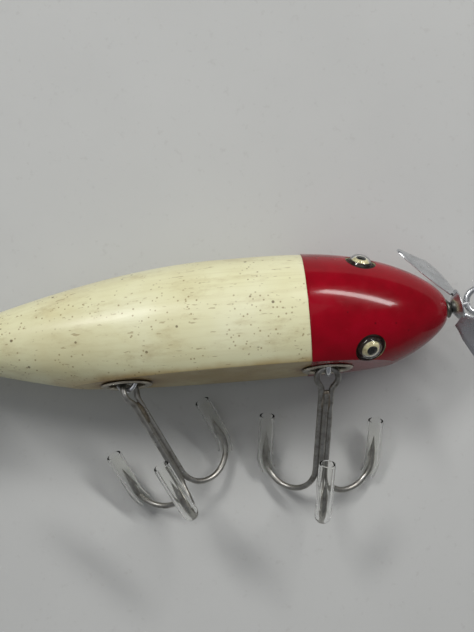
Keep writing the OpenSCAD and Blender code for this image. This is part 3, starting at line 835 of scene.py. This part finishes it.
def blade(bend, flip):
    """A sheet blade between its two edges, cambered and slightly washed out towards its tip."""
    place = turn("X", flip) @ at((DISH_BACK + DISH_FRONT) / 2 + 0.3, HUB_R, 0) @ turn("Z", bend)
    place = place @ turn("Y", BLADE_PITCH)
    long_count, cross_count = 36, 14
    layers = []
    for face in (0.5, -0.5):
        layer = []
        for i in range(long_count + 1):
            t = i / long_count
            a, b = along_edge(BLADE_LONG_EDGE, t), along_edge(BLADE_SHORT_EDGE, t)
            for j in range(cross_count + 1):
                u = j / cross_count
                mid = a.lerp(b, u)
                rounding = 1 - 0.75 * max(abs(2 * u - 1) ** 10, (t ** 24))
                camber = 0.35 * (1 - (2 * u - 1) ** 2) * min(1.0, 2.2 * t)
                layer.append(place @ Vector((mid.y, mid.x, face * SHEET_T * rounding + camber - 0.12)))
        layers.append(layer)
    width = cross_count + 1
    size = len(layers[0])
    points = layers[0] + layers[1]
    faces = []
    for i in range(long_count):
        for j in range(cross_count):
            a = i * width + j
            faces.append((a, a + 1, a + width + 1, a + width))
            faces.append((size + a, size + a + width, size + a + width + 1, size + a + 1))
    border = list(range(width)) + [i * width + cross_count for i in range(1, long_count + 1)]
    border += [long_count * width + j for j in range(cross_count - 1, -1, -1)]
    border += [i * width for i in range(long_count - 1, 0, -1)]
    for a, b in zip(border, border[1:] + border[:1]):
        faces.append((a, b, size + b, size + a))
    return points, faces


def make_propeller(end, place, spin, bends, body):
    bore = TIE_WIRE_R + 0.07
    outline = [
        (bore, DISH_BACK), (1.1, DISH_BACK), (1.9, 1.75), (HUB_R, DISH_FRONT - 0.2), (HUB_R, DISH_FRONT),
        (HUB_R - 0.3, DISH_FRONT), (1.7, 2.15), (1.0, DISH_BACK + SHEET_T), (bore, DISH_BACK + SHEET_T),
        (bore, DISH_BACK),
    ]
    hub = lathe(softened(outline, 0.16), 80, closed=True)
    shape = joined(hub, blade(bends[0], 0), blade(bends[1], 180))
    made = piece(end + "_pressed_propeller", *shape, place @ turn("X", spin), NICKEL, body, sharp=50)
    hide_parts(end + "_propeller")


def make_bearings(end, place, seat):
    bore = TIE_WIRE_R + 0.06
    cone = [(bore, seat), (1.75, seat), (1.77, seat + 0.12), (1.7, seat + 0.3), (1.25, 0.95), (0.97, 1.22),
            (bore, 1.22), (bore, seat)]
    shape = lathe(softened(cone, 0.12), 64, closed=True)
    made = piece(end + "_turned_cone", *shape, place, DARK_NICKEL, sharp=60)
    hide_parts(end + "_bearing_cone")
    bead = [(bore, 1.83), (1.0, 1.83), (1.15, 1.95), (1.2, 2.12), (1.15, 2.3), (1.0, 2.42), (bore, 2.42),
            (bore, 1.83)]
    node = ("front" if end == "nose" else "tail") + "_thrust_washer"
    washer = piece(node + "_bead", *lathe(softened(bead, 0.1), 64, closed=True), place, NICKEL, sharp=60)
    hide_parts(node)


def make_shafts():
    screw_eye("line_tie_wire", "line_tie_screw_eye", NOSE_SHANK @ at(TIE_REACH, 0, 0),
              TIE_RING_R, TIE_WIRE_R, smooth_len=TIE_REACH - TIE_RING_R + TIE_SCREW_NECK, **TIE_SCREW)
    screw_eye("tail_tie_wire", "tail_screw_eye", TAIL_RING,
              TIE_RING_R, TIE_WIRE_R, smooth_len=TAIL_RING_REACH - TIE_RING_R + TIE_SCREW_NECK, **TIE_SCREW)


# ---- Stage ----

def make_camera():
    """Straight above the lure, with its axis rising slightly to the right. The sensor is the long side."""
    sensor = 36.0
    aim = NOSE @ Vector(CAMERA_AIM)
    data = bpy.data.cameras.new("camera")
    data.sensor_width = sensor
    data.lens = sensor * CAMERA_HEIGHT / VIEW_LONG_SIDE
    data.clip_start = 0.01
    camera = bpy.data.objects.new("camera", data)
    lean = turn("Z", -CAMERA_ROLL)
    back = lean @ Vector((0, 0, CAMERA_HEIGHT))
    camera.matrix_world = Matrix.Translation((aim + back) * MM) @ lean
    bpy.context.scene.collection.objects.link(camera)
    bpy.context.scene.camera = camera


def area_light(name, where, aim, size, power, colour):
    data = bpy.data.lights.new(name, "AREA")
    data.shape = "RECTANGLE"
    data.size, data.size_y = size
    data.energy = power
    data.color = colour
    lamp = bpy.data.objects.new(name, data)
    direction = Vector(aim) - Vector(where)
    lamp.matrix_world = Matrix.Translation(where) @ direction.to_track_quat("-Z", "Y").to_matrix().to_4x4()
    bpy.context.scene.collection.objects.link(lamp)


def make_stage():
    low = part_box("front_guard_3")[0][2]
    size = 3.0
    level = min(low, -BODY_R * MM) - 0.00002
    mesh = bpy.data.meshes.new("floor")
    corners = [(-size, -size, level), (size, -size, level), (size, size, level), (-size, size, level)]
    mesh.from_pydata(corners, [], [(0, 1, 2, 3)])
    mesh.materials.append(pale_floor())
    floor = bpy.data.objects.new("floor", mesh)
    bpy.context.scene.collection.objects.link(floor)
    middle = (-0.05, 0.0, 0.0)
    area_light("window_right", (0.42, 0.46, 0.56), middle, (0.62, 0.09), 4.6, (1.0, 0.99, 0.97))
    area_light("window_left", (-0.34, 0.42, 0.52), middle, (0.24, 0.12), 1.7, (1.0, 0.99, 0.97))
    area_light("room", (-0.3, 0.15, 0.9), middle, (1.2, 0.9), 1.4, (0.97, 0.98, 1.0))
    world = bpy.data.worlds.new("studio")
    world.use_nodes = True
    backdrop = world.node_tree.nodes["Background"]
    backdrop.inputs["Color"].default_value = (0.92, 0.95, 1.0, 1)
    backdrop.inputs["Strength"].default_value = 0.17
    bpy.context.scene.world = world


bpy.context.scene.view_settings.view_transform = "Standard"
make_camera()
make_stage()
make_body()
make_red_head()
make_eye("left", LEFT_EYE)
make_eye("right", RIGHT_EYE)
for end, back in (("front", FRONT_CUP), ("rear", REAR_CUP)):
    make_cup(end, back)
make_belly_eyes()
treble_frames = {"front": front_treble_frame(), "rear": rear_treble_frame(), "tail": tail_treble_frame()}
for end, place in treble_frames.items():
    make_treble(end, place, end + "_treble_body")
    make_guards(end, place, end + "_treble_body")
make_propeller("front", NOSE_SHANK, FRONT_SPIN, (BLADE_BEND, -BLADE_BEND), "front_propeller_body")
make_propeller("tail", TAIL, TAIL_SPIN, (TAIL_SWEEP, TAIL_SWEEP), "tail_propeller_body")
make_bearings("nose", NOSE_SHANK, NOSE_CONE_SEAT)
make_bearings("tail", TAIL, TAIL_CONE_SEAT)
make_shafts()
for side in ("left", "right"):
    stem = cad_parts[side + "_eye_wire"]
    for held in stem.material_slots:
        held.material = STEM_STEEL
